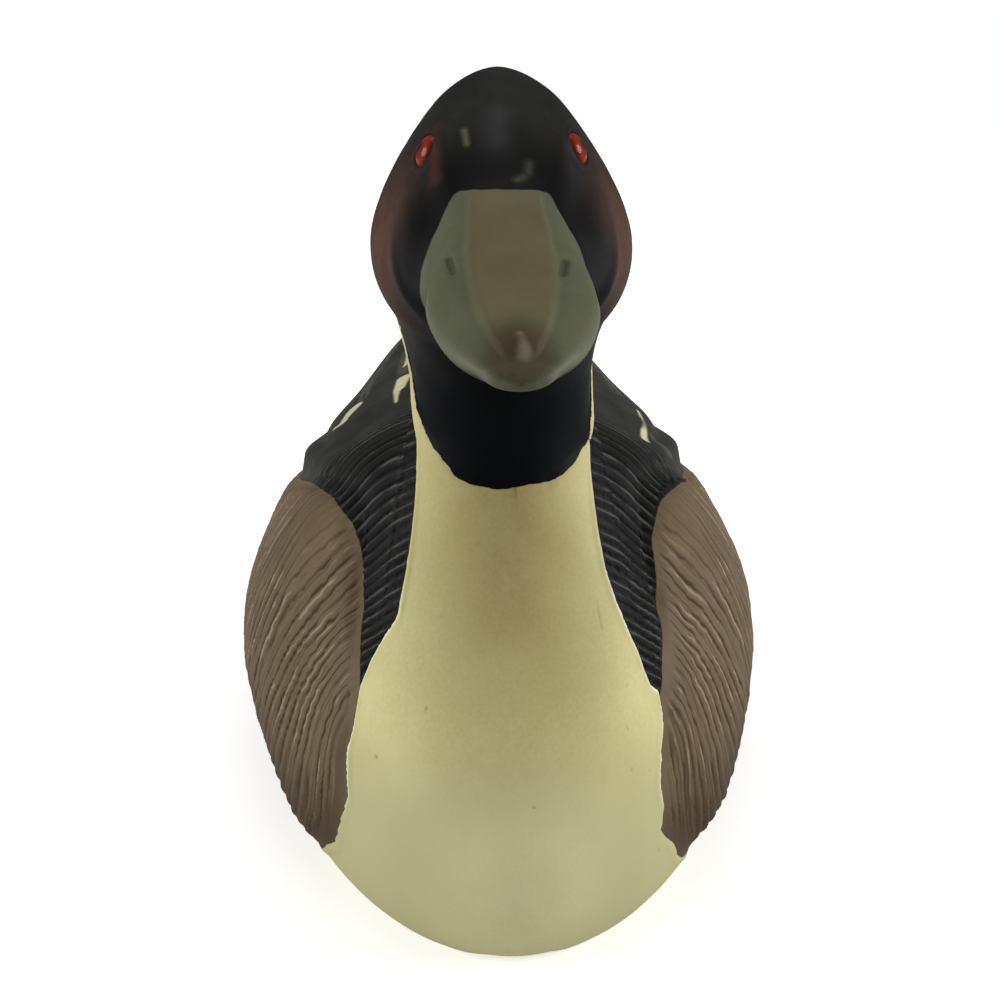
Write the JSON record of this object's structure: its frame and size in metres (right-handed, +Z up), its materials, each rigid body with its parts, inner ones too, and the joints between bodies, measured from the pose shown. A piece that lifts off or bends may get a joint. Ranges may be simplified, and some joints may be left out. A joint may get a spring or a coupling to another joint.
{
  "type": "duck decoy",
  "caption": "Miniature duck decoy: a drake with a long neck, low bill, folded wings and pointed tail on a flat base, cast and painted by hand, with small glass eyes.",
  "frame": {"origin": "middle of the bounding box, on the flat underside that the duck stands on", "axes": "+Y runs from the bill to the tail, so the duck looks along -Y; +X is the duck's left; +Z is up"},
  "size_m": [0.0654, 0.1668, 0.0771],
  "materials": {
    "painted_body": "cast resin under satin hand paint: ivory breast, charcoal and brown wings, blue-black throat",
    "eye_glass": "polished orange-red glass with a black pupil"
  },
  "bodies": {
    "root": {"duck": "painted_body", "left_eye": "eye_glass", "right_eye": "eye_glass"}
  },
  "joints": []
}
